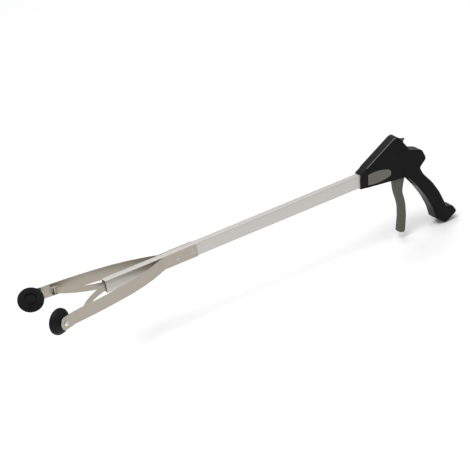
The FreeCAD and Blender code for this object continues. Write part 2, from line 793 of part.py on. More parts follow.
def build_spring():
    """Torsion spring round the pivot pin, in the space left of the thin lever."""
    wire = size("spring_wire")
    radius = size("spring_coil") / 2
    pitch = wire * 1.08
    turns = size("spring_turns")
    helix = Part.makeHelix(pitch, pitch * turns, radius)
    last = 2 * math.pi * turns
    start = V(radius, 0, 0)
    end = V(radius * math.cos(last), radius * math.sin(last), pitch * turns)
    leg = size("spring_leg")
    climb = pitch / (2 * math.pi * radius)
    into = V(0, 1, climb).normalize()
    out = V(-math.sin(last), math.cos(last), climb).normalize()
    leg_in = Part.makeLine(start - into * leg, start)
    leg_out = Part.makeLine(end, end + out * leg * 0.8)
    path = Part.Wire([leg_in] + list(helix.Edges) + [leg_out])
    ring = Part.Wire([Part.makeCircle(wire / 2, start - into * leg, into)])
    solid = path.makePipeShell([ring], True, True, 0)
    part = doc.addObject("Part::Feature", "trigger_spring")
    lift = size("trigger_neck_width / 2 + spring_wire + 0.2")
    upright = FreeCAD.Placement(V(0, lift, 0), FreeCAD.Rotation(V(1, 0, 0), -90))
    legs_down = FreeCAD.Placement(V(0, 0, 0), FreeCAD.Rotation(V(0, 1, 0), 180))
    part.Shape = solid.transformGeometry(legs_down.multiply(upright).toMatrix())
    place(part, "pivot_x", "0", "pivot_z")


def build_latch():
    """Thumb latch: a rocker whose fin stands out of the rear slope of the housing."""
    body = new_body("lock_latch")
    sketch = plane_sketch(body, "latch_outline", "XZ_Plane")
    outline(sketch, [
        ("-3", "0", "3", 1),
        ("0", "-3", "3", 1),
        ("3", "0"),
        ("5.6", "2.6"),
        ("9.9", "7.6"),
        ("1.6", "9.6"),
        ("-1.2", "6.4"),
        ("-5.2", "4.6"),
    ])
    pad(body, sketch, "latch_width", both=True)
    sketch = plane_sketch(body, "latch_bore", "XZ_Plane")
    circle(sketch, "0", "0", "latch_pin + 2 * shaft_gap")
    pocket(body, sketch, "latch_width * 2", both=True)
    place(body, "latch_x", "0", "latch_z")


# ------------------------------------------------------------------ rod and crosshead
def build_rod():
    """Pull rod from the crosshead to the eye, its own origin at its front end."""
    rod = doc.addObject("Part::Cylinder", "pull_rod")
    rod.setExpression("Radius", spell("rod_diameter / 2"))
    rod.setExpression("Height", spell("yoke_x - eye_length + rod_socket - head_front - head_length + head_web"))
    rod.Placement = FreeCAD.Placement(V(0, 0, 0), FreeCAD.Rotation(V(0, 1, 0), 90))
    place(rod, "(head_front + head_length - head_web)")


def build_eye():
    """Rod end: a flat eye in the lever's slit, with an upright hole for the yoke pin."""
    body = new_body("rod_eye")
    sketch = plane_sketch(body, "eye_outline", "XZ_Plane")
    outline(sketch, [
        ("0", "-eye_height / 2", "eye_height / 2", 1),
        ("eye_height / 2", "0", "eye_height / 2", 1),
        ("0", "eye_height / 2"),
        ("-eye_length", "eye_height / 2"),
        ("-eye_length", "-eye_height / 2"),
    ])
    pad(body, sketch, "eye_width", both=True)
    sketch = plane_sketch(body, "eye_slot", "XZ_Plane")
    half = "(yoke_pin / 2 + shaft_gap)"
    rise = "(yoke_z + 0.25)"
    outline(sketch, [
        (half, "-" + rise),
        (half, rise, half, 1),
        ("0", "%s + %s" % (rise, half), half, 1),
        ("-" + half, rise),
        ("-" + half, "-" + rise, half, 1),
        ("0", "-(%s + %s)" % (rise, half), half, 1),
    ])
    pocket(body, sketch, "eye_width * 2", both=True)
    sketch = plane_sketch(body, "eye_socket", "YZ_Plane", "-eye_length")
    circle(sketch, "0", "0", "rod_diameter + 2 * fit_gap")
    pocket(body, sketch, "rod_socket", back=True)
    place(body, "yoke_x")


def build_crosshead():
    """Slider in the tube mouth; the link pins float in its upright slots."""
    body = new_body("crosshead")
    slack = "run_gap"
    sketch = plane_sketch(body, "head_block", "YZ_Plane")
    rounded_box(sketch, "half_bore - %s - 0.05" % slack, "half_bore_high - %s" % slack, "0.6")
    pad(body, sketch, "head_length")
    sketch = plane_sketch(body, "head_gap", "XZ_Plane")
    box_outline(sketch, "-1", "head_length - head_web",
                "-half_bore_high + %s + head_plate" % slack, "half_bore_high - %s - head_plate" % slack)
    pocket(body, sketch, "tube_width * 2", both=True)
    sketch = plane_sketch(body, "head_slots", "XY_Plane", "-tube_height")
    for _, side in SIDES:
        mid_x = "(inner_pin_x - head_front + slot_shift_x)"
        mid_y = "%d * (inner_pin_y - slot_shift_y)" % side
        half_x = "(slot_float_x + inner_pin / 2)"
        half_y = "(slot_float_y + inner_pin / 2)"
        corners = []
        for a, b, first in ((1, -1, False), (1, 1, True), (-1, 1, False), (-1, -1, True)):
            edge_a = "%s + %d * %s" % (mid_x, a, half_x)
            edge_b = "%s + %d * %s" % (mid_y, b, half_y)
            in_a = "%s + %d * (%s - inner_pin / 2)" % (mid_x, a, half_x)
            in_b = "%s + %d * (%s - inner_pin / 2)" % (mid_y, b, half_y)
            if first:
                corners.append((edge_a, in_b, "inner_pin / 2", 1))
                corners.append((in_a, edge_b))
            else:
                corners.append((in_a, edge_b, "inner_pin / 2", 1))
                corners.append((edge_a, in_b))
        outline(sketch, corners)
    pocket(body, sketch, "tube_height * 2", back=True)
    sketch = plane_sketch(body, "head_socket", "YZ_Plane")
    circle(sketch, "0", "0", "rod_diameter + 2 * fit_gap")
    pocket(body, sketch, "head_length * 2", back=True)
    place(body, "head_front")


# ----------------------------------------------------------------------------- links
LINK_RUN = "sqrt((inner_pin_x - link_pin_x) ^ 2 + (link_pin_y - inner_pin_y) ^ 2)"


def build_link(name, side):
    """Bowed strip between the crosshead pin and the bracket pin on the arm.

    Its own origin is the bracket pin and its own X points at the crosshead pin.
    """
    body = new_body(name)
    run = LINK_RUN
    radius = "(%s / 2 / sin(link_bow))" % run
    half = "link_thickness / 2"
    lean_in = "sin(link_bow) * %s" % half
    lift = "cos(link_bow) * %s" % half
    turn = side
    sketch = plane_sketch(body, name + "_strip", "XY_Plane")
    outline(sketch, [
        ("-(%s)" % lean_in, mirrored(side, "-(%s)" % lift), "%s + %s" % (radius, half), turn),
        ("%s + %s" % (run, lean_in), mirrored(side, "-(%s)" % lift)),
        ("%s - (%s)" % (run, lean_in), mirrored(side, lift), "%s - %s" % (radius, half), -turn),
        (lean_in, mirrored(side, lift)),
    ])
    pad(body, sketch, "link_width", both=True)
    for tag, at, pin in (("outer", "0", "outer_pin"), ("inner", run, "inner_pin")):
        sketch = plane_sketch(body, "%s_%s_eye" % (name, tag), "XY_Plane")
        gap = "shaft_gap" if tag == "outer" else "fit_gap"
        circle(sketch, at, "0", "%s + 2 * %s + 2 * link_thickness" % (pin, gap))
        pad(body, sketch, "link_width", both=True)
        sketch = plane_sketch(body, "%s_%s_bore" % (name, tag), "XY_Plane")
        circle(sketch, at, "0", "%s + 2 * %s" % (pin, gap))
        pocket(body, sketch, "link_width * 2", both=True)
    chord = math.degrees(math.atan2(size("link_pin_y - inner_pin_y"), size("inner_pin_x - link_pin_x")))
    place(body, "link_pin_x", mirrored(side, "link_pin_y"), "0")
    body.Placement = FreeCAD.Placement(body.Placement.Base, FreeCAD.Rotation(V(0, 0, 1), -side * chord))


def build_bracket(name, side):
    """Folded bracket on the arm's inner face; its own origin is the pin axis."""
    body = new_body(name)
    face = mirrored(side, "bracket_offset")
    inner = mirrored(side, "-bracket_nose")
    low, high = (inner, face) if side > 0 else (face, inner)
    lug = "(link_width / 2 + run_gap + bracket_plate)"
    sketch = plane_sketch(body, name + "_block", "XY_Plane")
    box_outline(sketch, "-bracket_length / 2", "bracket_length / 2", low, high)
    pad(body, sketch, "2 * %s" % lug, both=True)
    sketch = plane_sketch(body, name + "_gap", "XY_Plane")
    floor = mirrored(side, "(bracket_offset - bracket_plate)")
    past = mirrored(side, "(-bracket_nose - 1)")
    low, high = (past, floor) if side > 0 else (floor, past)
    box_outline(sketch, "-bracket_length", "bracket_length", low, high)
    pocket(body, sketch, "link_width + 2 * run_gap", both=True)
    sketch = plane_sketch(body, name + "_bore", "XY_Plane")
    circle(sketch, "0", "0", "outer_pin + 2 * fit_gap")
    pocket(body, sketch, "link_width * 4", both=True)
    place(body, "link_pin_x", mirrored(side, "link_pin_y"), "0",
          mirrored(side, "-bracket_slope"))


def build_outer_pin(name, side):
    """Headed pin through the bracket lugs and the link's outer eye."""
    body = new_body(name)
    lug = "(link_width / 2 + run_gap + bracket_plate)"
    sketch = plane_sketch(body, name + "_profile", "XZ_Plane")
    outline(sketch, [
        ("0", "-%s - 0.7" % lug),
        ("pin_head / 2 - 0.2", "-%s - 0.7" % lug),
        ("pin_head / 2", "-%s - 0.45" % lug),
        ("pin_head / 2", "-%s" % lug),
        ("outer_pin / 2", "-%s" % lug),
        ("outer_pin / 2", lug),
        ("pin_head / 2", lug),
        ("pin_head / 2", "%s + 0.45" % lug),
        ("pin_head / 2 - 0.2", "%s + 0.7" % lug),
        ("0", "%s + 0.7" % lug),
    ])
    revolve(body, sketch)
    place(body, "link_pin_x", mirrored(side, "link_pin_y"), "0")


# ------------------------------------------------------------------------------ arms
def strip_corner(at_x, at_y, angle, inward):
    """Point of the strip's outer or inner face beside a point of its middle line."""
    sign = "-" if inward else "+"
    return (
        "%s %s strip_thickness / 2 * sin(%s)" % (at_x, sign, angle),
        "%s %s strip_thickness / 2 * cos(%s)" % (at_y, sign, angle),
    )


def build_arm(name, side):
    """Moving strip from the flexing line to its rounded tip."""
    body = new_body(name)
    back_x = "(-hinge_gap / 2 * cos(root_angle))"
    back_y = "(hinge_gap / 2 * sin(root_angle))"
    rel = {
        "start": (back_x, back_y, "root_angle"),
        "belly": ("(belly_x - hinge_x)", "(belly_y - hinge_y)", "belly_angle"),
        "reach": ("(reach_x - hinge_x)", "(reach_y - hinge_y)", "reach_angle"),
        "tip": ("(tip_x - hinge_x)", "(tip_y - hinge_y)", "tip_angle"),
        "end": ("(end_x - hinge_x)", "(end_y - hinge_y)", "tip_angle"),
    }
    thick = "strip_thickness / 2"
    corners = []
    arcs_out = {"start": ("belly_radius + " + thick, 1), "belly": ("reach_radius + " + thick, 1),
                "reach": ("tip_bend_radius - " + thick, -1)}
    arcs_in = {"tip": ("tip_bend_radius + " + thick, 1), "reach": ("reach_radius - " + thick, -1),
               "belly": ("belly_radius - " + thick, -1)}
    for key in ("start", "belly", "reach", "tip", "end"):
        across, along = strip_corner(*rel[key], False)
        corner = (across, mirrored(side, "(%s)" % along))
        if key in arcs_out:
            corner = corner + (arcs_out[key][0], arcs_out[key][1] * side)
        corners.append(corner)
    for key in ("end", "tip", "reach", "belly", "start"):
        across, along = strip_corner(*rel[key], True)
        corner = (across, mirrored(side, "(%s)" % along))
        if key in arcs_in:
            corner = corner + (arcs_in[key][0], arcs_in[key][1] * side)
        corners.append(corner)
    sketch = plane_sketch(body, name + "_strip", "XY_Plane")
    outline(sketch, corners)
    pad(body, sketch, "strip_width", both=True)
    end_x = size("end_x - hinge_x")
    end_y = side * size("end_y - hinge_y")

    def on_tip_corner(edge):
        box = edge.BoundBox
        return (abs(box.Center.x - end_x) < 0.5 and abs(box.Center.y - end_y) < 0.5
                and edge.Length < size("strip_thickness") * 1.2 and box.ZLength < 0.01)

    dress(body, "Fillet", name + "_tip_corners", "tip_round", on_tip_corner)
    sketch = body.newObject("Sketcher::SketchObject", name + "_tip_hole")
    plane = [item for item in body.Origin.OriginFeatures if item.Role == "XZ_Plane"][0]
    sketch.AttachmentSupport = (plane, "")
    sketch.MapMode = "FlatFace"
    sketch.AttachmentOffset = FreeCAD.Placement(V(0, 0, 0), FreeCAD.Rotation(V(0, 1, 0), 30))
    sketch.setExpression("AttachmentOffset.Rotation.Angle", spell(mirrored(side, "tip_angle") if side < 0 else "tip_angle"))
    sketch.setExpression("AttachmentOffset.Base.x", spell("seat_x - hinge_x"))
    sketch.setExpression("AttachmentOffset.Base.z", spell(mirrored(side, "-(seat_y - hinge_y)")))
    circle(sketch, "0", "0", "cup_screw + 4 * fit_gap")
    pocket(body, sketch, "strip_thickness * 4", both=True)
    place(body, "hinge_x", mirrored(side, "hinge_y"), "0")


def build_arm_root(name, side):
    """Riveted strip on the tube side, bent outwards ahead of the rivets."""
    body = new_body(name)
    sketch = plane_sketch(body, name + "_strip", "XY_Plane")
    thick = "strip_thickness / 2"
    turn_out = "bend_radius * tan(root_angle / 2)"
    flat_x = "(bend_x + %s)" % turn_out
    slope_x = "(bend_x - %s * cos(root_angle))" % turn_out
    slope_y = "(root_y + %s * sin(root_angle))" % turn_out
    stop_x = "(hinge_x + hinge_gap / 2 * cos(root_angle))"
    stop_y = "(hinge_y - hinge_gap / 2 * sin(root_angle))"
    heel = "(bend_x + root_length)"
    points = [
        (heel, "root_y", "0", None, None),
        (flat_x, "root_y", "0", "bend_radius", 1),
        (slope_x, slope_y, "root_angle", None, None),
        (stop_x, stop_y, "root_angle", None, None),
    ]
    corners = []
    for at_x, at_y, angle, radius, _ in points:
        across, along = strip_corner(at_x, at_y, angle, False)
        corner = (across, mirrored(side, "(%s)" % along))
        if radius is not None:
            corner = corner + ("%s - %s" % (radius, thick), -side)
        corners.append(corner)
    for at_x, at_y, angle, radius, _ in reversed(points):
        across, along = strip_corner(at_x, at_y, angle, True)
        corner = (across, mirrored(side, "(%s)" % along))
        if at_x == slope_x:
            corner = corner + ("bend_radius + %s" % thick, side)
        corners.append(corner)
    outline(sketch, corners)
    pad(body, sketch, "strip_width", both=True)
    heel_x = size(heel)
    dress(body, "Fillet", name + "_heel_corners", "tip_round / 2",
          lambda edge: abs(edge.BoundBox.Center.x - heel_x) < 0.01
          and edge.BoundBox.ZLength < 0.01 and edge.Length < size("strip_thickness") * 1.2)
    sketch = plane_sketch(body, name + "_holes", "XZ_Plane", mirrored(-side, "root_y"))
    circle(sketch, "rivet_first_x", "0", "rivet_shank + 2 * fit_gap")
    circle(sketch, "rivet_first_x + rivet_pitch", "0", "rivet_shank + 2 * fit_gap")
    pocket(body, sketch, "strip_thickness * 4", both=True)
    place(body)


def build_rivets():
    """Four equal blind rivets, two through each arm root and tube wall."""
    shank = size("rivet_shank") / 2
    head = size("rivet_head") / 2
    high = size("rivet_head_height")
    outer = size("half_tube + strip_thickness")
    inner = size("half_bore")
    dome = (head ** 2 + high ** 2) / (2 * high)
    solids = []
    for _, side in SIDES:
        for place_x in (size("rivet_first_x"), size("rivet_first_x + rivet_pitch")):
            ball = Part.makeSphere(dome, V(0, outer + high - dome, 0))
            keep = Part.makeCylinder(head, high, V(0, outer, 0), V(0, 1, 0))
            cap = ball.common(keep)
            stem = Part.makeCylinder(shank, outer - inner + 0.2, V(0, inner - 0.2, 0), V(0, 1, 0))
            tail = Part.makeCylinder(size("rivet_tail") / 2, size("rivet_tail_height"),
                                     V(0, inner - size("rivet_tail_height"), 0), V(0, 1, 0))
            bore = Part.makeCylinder(shank * 0.45, high * 2, V(0, outer + high * 0.45, 0), V(0, 1, 0))
            solid = cap.fuse([stem, tail]).cut(bore).removeSplitter().Solids[0]
            if side < 0:
                solid = solid.mirror(V(0, 0, 0), V(0, 1, 0))
            solid.translate(V(place_x, 0, 0))
            solids.append(solid)
    part = doc.addObject("Part::Feature", "arm_rivets")
    part.Shape = Part.makeCompound(solids)
    place(part)


# ------------------------------------------------------------------------------ cups
def seat(obj, side, shift="0"):
    """Place a piece whose own +Y axis points out of the cup seat of one arm."""
    reach = "(strip_thickness / 2 + %s)" % shift
    place(obj, "(seat_x - %s * sin(tip_angle))" % reach,
          mirrored(side, "(seat_y - %s * cos(tip_angle))" % reach), "0",
          "180 - tip_angle" if side > 0 else "tip_angle")


def build_cup(name, side):
    """Rubber cup: a neck on the arm tip, a domed back and a shallow ringed dish."""
    body = new_body(name)
    sketch = plane_sketch(body, name + "_profile", "XY_Plane")
    rim = "cup_diameter / 2"
    outline(sketch, [
        ("0", "0"),
        ("cup_neck / 2", "0"),
        ("cup_neck / 2", "cup_neck_length", "cup_dome_radius", 1),
        (rim, "cup_depth - cup_rim"),
        (rim, "cup_depth"),
        (rim + " - cup_rim", "cup_depth", "cup_dish_radius", -1),
        ("0", "cup_depth - cup_dish"),
    ])
    revolve(body, sketch)
    sketch = plane_sketch(body, name + "_nut_seat", "XZ_Plane", "-cup_nut_depth")
    hexagon(sketch, "(cup_nut_flats + 2 * fit_gap)")
    pocket(body, sketch, "cup_nut_height + fit_gap")
    sketch = plane_sketch(body, name + "_bore", "XZ_Plane")
    circle(sketch, "0", "0", "cup_screw + 2 * fit_gap")
    pocket(body, sketch, "2 * (cup_screw_length + fit_gap)", both=True)
    for ring, share in (("wide", "cup_wide_ring"), ("close", "cup_close_ring")):
        sketch = plane_sketch(body, "%s_%s_ring" % (name, ring), "XY_Plane")
        box_outline(sketch, "(%s - cup_ring) / 2" % share, "(%s + cup_ring) / 2" % share,
                    "cup_depth - cup_dish - cup_ring", "cup_depth - cup_ring")
        revolve(body, sketch)
    seat(body, side)


def build_cup_screw(name, side):
    """Pan head cross screw from the arm's outer face into the nut inside the cup."""
    body = new_body(name)
    sketch = plane_sketch(body, name + "_profile", "XY_Plane")
    outline(sketch, [
        ("0", "cup_screw_length"),
        ("cup_screw / 2 - 0.4", "cup_screw_length"),
        ("cup_screw / 2", "cup_screw_length - 0.4"),
        ("cup_screw / 2", "0"),
        ("cup_screw_head / 2", "0"),
        ("cup_screw_head / 2", "screw_dome - cup_screw_head_height", "screw_dome_radius", -1),
        ("0", "-cup_screw_head_height"),
    ])
    revolve(body, sketch)
    sketch = plane_sketch(body, name + "_cross", "XZ_Plane", "cup_screw_head_height")
    arm = "cup_screw_head * 0.26"
    web = "cup_screw_head * 0.07"
    outline(sketch, [
        (arm, "-" + web), (arm, web), (web, web), (web, arm), ("-" + web, arm), ("-" + web, web),
        ("-" + arm, web), ("-" + arm, "-" + web), ("-" + web, "-" + web), ("-" + web, "-" + arm),
        (web, "-" + arm), (web, "-" + web),
    ])
    pocket(body, sketch, "cup_screw_head_height * 0.7")
    seat(body, side, "-strip_thickness")


def build_cup_nut(name, side):
    body = new_body(name)
    sketch = plane_sketch(body, name + "_hex", "XZ_Plane")
    hexagon(sketch, "cup_nut_flats")
    pad(body, sketch, "cup_nut_height", back=True)
    sketch = plane_sketch(body, name + "_bore", "XZ_Plane")
    circle(sketch, "0", "0", "cup_screw + 2 * fit_gap")
    pocket(body, sketch, "cup_nut_height * 4", both=True)
    seat(body, side, "cup_nut_depth")


# Bracket geometry follows the arm: how far the pin stands off the strip and the strip's slope.
def bracket_frame():
    pin = V(size("link_pin_x"), size("link_pin_y"), 0)
    centre = V(size("reach_x - reach_radius * sin(reach_angle)"),
               size("reach_y - reach_radius * cos(reach_angle)"), 0)
    away = pin - centre
    gap = size("reach_radius - strip_thickness / 2") - away.Length
    slope = math.degrees(math.atan2(away.x, away.y))
    return gap, slope


def main():
    gap, slope = bracket_frame()
    SHARED["bracket_offset"] = "%.6f" % (gap - 0.02)
    SHARED["bracket_slope"] = "%.6f" % slope
    build_tube()
    build_collar()
    for name, side in SIDES:
        build_shell("housing_" + name, side)
        build_inlay("side_inlay_" + name, side)
    build_housing_screws()
    build_trigger()
    build_pin("trigger_pivot_pin", "pivot_pin", "2 * half_cavity + shell_wall - 0.2", "pivot_x", "0", "pivot_z", "Y")
    build_pin("yoke_pin", "yoke_pin", "trigger_width - 0.4", "yoke_x", "0", "yoke_z", "Y")
    build_spring()
    build_latch()
    build_pin("latch_pin", "latch_pin", "2 * half_cavity + shell_wall - 0.2", "latch_x", "0", "latch_z", "Y")
    build_rod()
    build_eye()
    build_crosshead()
    for name, side in SIDES:
        build_arm_root("arm_root_" + name, side)
        build_arm("arm_" + name, side)
        build_link("link_" + name, side)
        build_bracket("link_bracket_" + name, side)
        build_outer_pin("link_outer_pin_" + name, side)
        build_pin("link_inner_pin_" + name, "inner_pin", "tube_height - 2 * tube_wall - 1.0",
                  "inner_pin_x", mirrored(side, "inner_pin_y"), "0", "Z")
        build_cup("cup_" + name, side)
        build_cup_screw("cup_screw_" + name, side)
        build_cup_nut("cup_nut_" + name, side)
    build_rivets()
    doc.recompute()
    export()


def export():
    """Check every sub-part and write one STEP file for each."""
    parts = [obj for obj in doc.Objects
             if obj.TypeId == "PartDesign::Body"
             or (obj.TypeId.startswith("Part::") and obj.getParentGeoFeatureGroup() is None)]
    for obj in doc.Objects:
        if "Invalid" in obj.State or "Error" in obj.State:
            raise RuntimeError("%s did not compute" % obj.Name)
    for part in parts:
        if part.Shape.isNull() or not part.Shape.isValid():
            raise RuntimeError("%s has no valid shape" % part.Name)
    os.makedirs("parts", exist_ok=True)
    for part in parts:
        part.Shape.exportStep("parts/%s.step" % part.Label)
        print("%-24s solids %d  volume %.1f" % (part.Label, len(part.Shape.Solids), part.Shape.Volume))


main()
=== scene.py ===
"""Looks of a hand reacher: spring strip jaws, aluminium tube and a pistol grip handle."""

import json
import logging
import math
from dataclasses import dataclass
from enum import Enum
from typing import Dict, List, Optional, Sequence, Tuple, Union

import bmesh
import bpy
from mathutils import Matrix, Vector

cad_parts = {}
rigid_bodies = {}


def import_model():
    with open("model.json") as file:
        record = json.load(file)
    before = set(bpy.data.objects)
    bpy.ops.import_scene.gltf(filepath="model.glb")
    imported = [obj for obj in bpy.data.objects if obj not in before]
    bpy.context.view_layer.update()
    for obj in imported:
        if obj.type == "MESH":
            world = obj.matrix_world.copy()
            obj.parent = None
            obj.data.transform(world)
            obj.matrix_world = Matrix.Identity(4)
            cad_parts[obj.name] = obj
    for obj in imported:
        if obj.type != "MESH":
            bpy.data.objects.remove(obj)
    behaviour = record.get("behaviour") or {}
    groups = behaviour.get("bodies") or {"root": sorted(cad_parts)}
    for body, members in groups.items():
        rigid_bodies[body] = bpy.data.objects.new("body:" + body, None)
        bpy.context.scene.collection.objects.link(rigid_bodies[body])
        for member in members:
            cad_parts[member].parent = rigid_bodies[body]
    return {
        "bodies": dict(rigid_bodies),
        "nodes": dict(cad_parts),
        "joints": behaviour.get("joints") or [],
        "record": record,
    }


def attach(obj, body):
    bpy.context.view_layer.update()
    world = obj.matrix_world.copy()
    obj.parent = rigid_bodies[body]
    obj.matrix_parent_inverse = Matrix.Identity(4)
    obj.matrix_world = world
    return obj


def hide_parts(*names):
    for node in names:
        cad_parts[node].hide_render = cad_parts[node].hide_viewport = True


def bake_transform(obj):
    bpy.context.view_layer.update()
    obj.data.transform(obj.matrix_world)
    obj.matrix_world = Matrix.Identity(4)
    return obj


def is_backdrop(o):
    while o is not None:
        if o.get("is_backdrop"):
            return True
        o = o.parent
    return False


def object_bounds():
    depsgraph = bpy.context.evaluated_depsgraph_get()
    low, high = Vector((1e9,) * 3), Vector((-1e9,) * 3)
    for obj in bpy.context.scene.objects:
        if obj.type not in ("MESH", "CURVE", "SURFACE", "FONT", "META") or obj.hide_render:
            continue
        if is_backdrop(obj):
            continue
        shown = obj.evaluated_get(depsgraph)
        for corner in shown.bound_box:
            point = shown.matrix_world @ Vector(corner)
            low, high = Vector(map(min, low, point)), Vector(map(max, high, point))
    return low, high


Colour = Tuple[float, float, float]
Point = Tuple[float, float, float]

LOG = logging.getLogger("reacher")
MM = 0.001
# The tube's mouth in the object frame, whose origin is the hand grip mount.
MOUTH = Vector((-538.0, 0.0, 60.0)) * MM
SIDES: Tuple[Tuple[str, int], ...] = (("left", 1), ("right", -1))


# ------------------------------------------------------------------ node graphs
class Field:
    """A node socket that arithmetic works on.

    Args:
        graph: the graph that the socket is in.
        socket: the output socket.
    """

    def __init__(self, graph: "Graph", socket: bpy.types.NodeSocket) -> None:
        self.graph = graph
        self.socket = socket

    def __add__(self, other: "Number") -> "Field":
        return self.graph.math("ADD", self, other)

    def __sub__(self, other: "Number") -> "Field":
        return self.graph.math("SUBTRACT", self, other)

    def __rsub__(self, other: "Number") -> "Field":
        return self.graph.math("SUBTRACT", other, self)

    def __mul__(self, other: "Number") -> "Field":
        return self.graph.math("MULTIPLY", self, other)

    def sine(self) -> "Field":
        """Returns: the sine of the field."""
        return self.graph.math("SINE", self)


Number = Union[float, Field]


class Graph:
    """A shader or geometry node tree, filled one node at a time.

    Args:
        tree: the empty node tree.
    """

    def __init__(self, tree: bpy.types.NodeTree) -> None:
        self.tree = tree

    def node(self, kind: str, inputs: Optional[Dict[Union[str, int], object]] = None,
             **settings: object) -> bpy.types.Node:
        """Adds one node.

        Args:
            kind: the node's type.
            inputs: value or Field for each named or numbered input.
            settings: properties of the node itself.

        Returns: the new node.
        """
        made = self.tree.nodes.new(kind)
        for key, value in settings.items():
            setattr(made, key, value)
        for key, value in (inputs or {}).items():
            if isinstance(value, Field):
                self.tree.links.new(value.socket, made.inputs[key])
            else:
                made.inputs[key].default_value = value
        return made

    def field(self, node: bpy.types.Node, output: Union[str, int] = 0) -> Field:
        """Returns: one output of a node as a Field."""
        return Field(self, node.outputs[output])

    def math(self, operation: str, first: Number, second: Number = 0.0) -> Field:
        """Returns: the result of one arithmetic node."""
        made = self.node("ShaderNodeMath", {0: first, 1: second}, operation=operation)
        return self.field(made)


# --------------------------------------------------------------------- finishes
# Sockets of the colour mix node, which has several with the same name.
MIX_FACTOR, MIX_FIRST, MIX_SECOND, MIX_RESULT = 0, 6, 7, 2
# The broad texture's cells against the fine ones, and the fine texture's part in the colour.
BROAD_SCALE = 0.06
FINE_SHARE = 0.4
# How far the roughness varies, and the bump's strength.
ROUGH_SPREAD = 0.16
BUMP_STRENGTH = 0.6
# Height of the ribs in a bump, and of the grain on top of them.
RIB_HEIGHT = 2.0
RIB_GRAIN = 0.3


class Grain(Enum):
    """How a surface's fine texture lies."""

    CAST = (1.0, 1.0, 1.0)
    DRAWN = (0.02, 1.0, 1.0)
    ROLLED = (0.05, 1.0, 1.0)


@dataclass(frozen=True)
class Finish:
    """One surface finish.

    Args:
        name: the material's name.
        colour: base colour.
        rough: middle roughness.
        metallic: 1 for bare metal.
        grain: the direction of the texture.
        grain_scale: texture cells per metre.
        relief: bump height in metres.
        spread: how far the base colour varies.
        ribs: rib pitch in metres along X, or 0 for none.
        specular: reflection level of a plastic or rubber.
    """

    name: str
    colour: Colour
    rough: float
    metallic: float = 0.0
    grain: Grain = Grain.CAST
    grain_scale: float = 900.0
    relief: float = 0.00005
    spread: float = 0.10
    ribs: float = 0.0
    specular: float = 0.5

    def build(self) -> bpy.types.Material:
        """Returns: the finish as a procedural material."""
        material = bpy.data.materials.new(self.name)
        material.use_nodes = True
        material.node_tree.nodes.clear()
        graph = Graph(material.node_tree)
        place = graph.field(graph.node("ShaderNodeTexCoord"), "Object")
        turned = graph.field(graph.node("ShaderNodeMapping", {
            "Vector": place, "Scale": self.grain.value}))
        fine = graph.field(graph.node("ShaderNodeTexNoise", {
            "Vector": turned, "Scale": self.grain_scale, "Detail": 3.0, "Roughness": 0.55}))
        broad = graph.field(graph.node("ShaderNodeTexNoise", {
            "Vector": turned, "Scale": self.grain_scale * BROAD_SCALE, "Detail": 4.0}))
        dark = tuple(value * (1 - self.spread) for value in self.colour) + (1.0,)
        light = tuple(min(1.0, value * (1 + self.spread)) for value in self.colour) + (1.0,)
        blotch = broad * (1 - FINE_SHARE) + fine * FINE_SHARE
        tone = graph.node("ShaderNodeMix", {MIX_FACTOR: blotch, MIX_FIRST: dark, MIX_SECOND: light},
                          data_type="RGBA")
        height = fine
        if self.ribs:
            along = graph.field(graph.node("ShaderNodeSeparateXYZ", {0: place}), "X")
            wave = (along * (2 * math.pi / self.ribs)).sine()
            height = wave * RIB_HEIGHT + fine * RIB_GRAIN
        bump = graph.node("ShaderNodeBump", {
            "Height": height, "Strength": BUMP_STRENGTH, "Distance": self.relief})
        surface = graph.node("ShaderNodeBsdfPrincipled", {
            "Base Color": graph.field(tone, MIX_RESULT),
            "Roughness": broad * ROUGH_SPREAD + (self.rough - ROUGH_SPREAD / 2),
            "Metallic": self.metallic,
            "Specular IOR Level": self.specular,
            "Normal": graph.field(bump),
        })
        graph.node("ShaderNodeOutputMaterial", {"Surface": graph.field(surface)})
        return material


TUBE = Finish("satin_extrusion", (0.53, 0.515, 0.485), 0.40, 1.0, grain=Grain.DRAWN,
              grain_scale=1800.0, relief=0.00001, spread=0.06)
STRIP = Finish("spring_strip", (0.405, 0.368, 0.312), 0.40, 1.0, grain=Grain.ROLLED,
               grain_scale=1500.0, relief=0.00001, spread=0.12)
BLACK = Finish("black_moulding", (0.004, 0.004, 0.004), 0.5, grain_scale=1400.0, relief=0.00006,
               spread=0.2, specular=0.14)
SHELL = Finish("handle_moulding", (0.0030, 0.0032, 0.0030), 0.34, grain_scale=1600.0,
               relief=0.00008, spread=0.2, specular=0.11)
# Light grey on the near-black handle: a painted highlight where the ridge's rounded edge catches
# the light.
EDGE_HIGHLIGHT = Finish("painted_edge_highlight", (0.16, 0.165, 0.165), 0.35, grain_scale=1600.0, relief=0.00002,
              specular=0.4)
LEVER = Finish("lever_moulding", (0.092, 0.094, 0.077), 0.55, grain_scale=500.0, relief=0.0002,
               spread=0.30, specular=0.2)
LEAF = Finish("leaf_rubber", (0.165, 0.165, 0.140), 0.62, grain_scale=1200.0, relief=0.0002,
              spread=0.12, ribs=0.0017, specular=0.2)
RUBBER = Finish("cup_rubber", (0.0042, 0.0043, 0.0045), 0.5, grain_scale=700.0, relief=0.00004,
                spread=0.2, specular=0.18)
ZINC = Finish("bright_zinc", (0.82, 0.82, 0.84), 0.22, 1.0, grain_scale=1200.0,
              relief=0.00001, spread=0.05)
STEEL = Finish("plain_steel", (0.50, 0.50, 0.50), 0.34, 1.0, grain_scale=1200.0,
               relief=0.00001, spread=0.08)
FLOOR = Finish("pale_floor", (0.97, 0.97, 0.97), 0.9, grain_scale=4.0, relief=0.0, spread=0.01,
               specular=0.1)

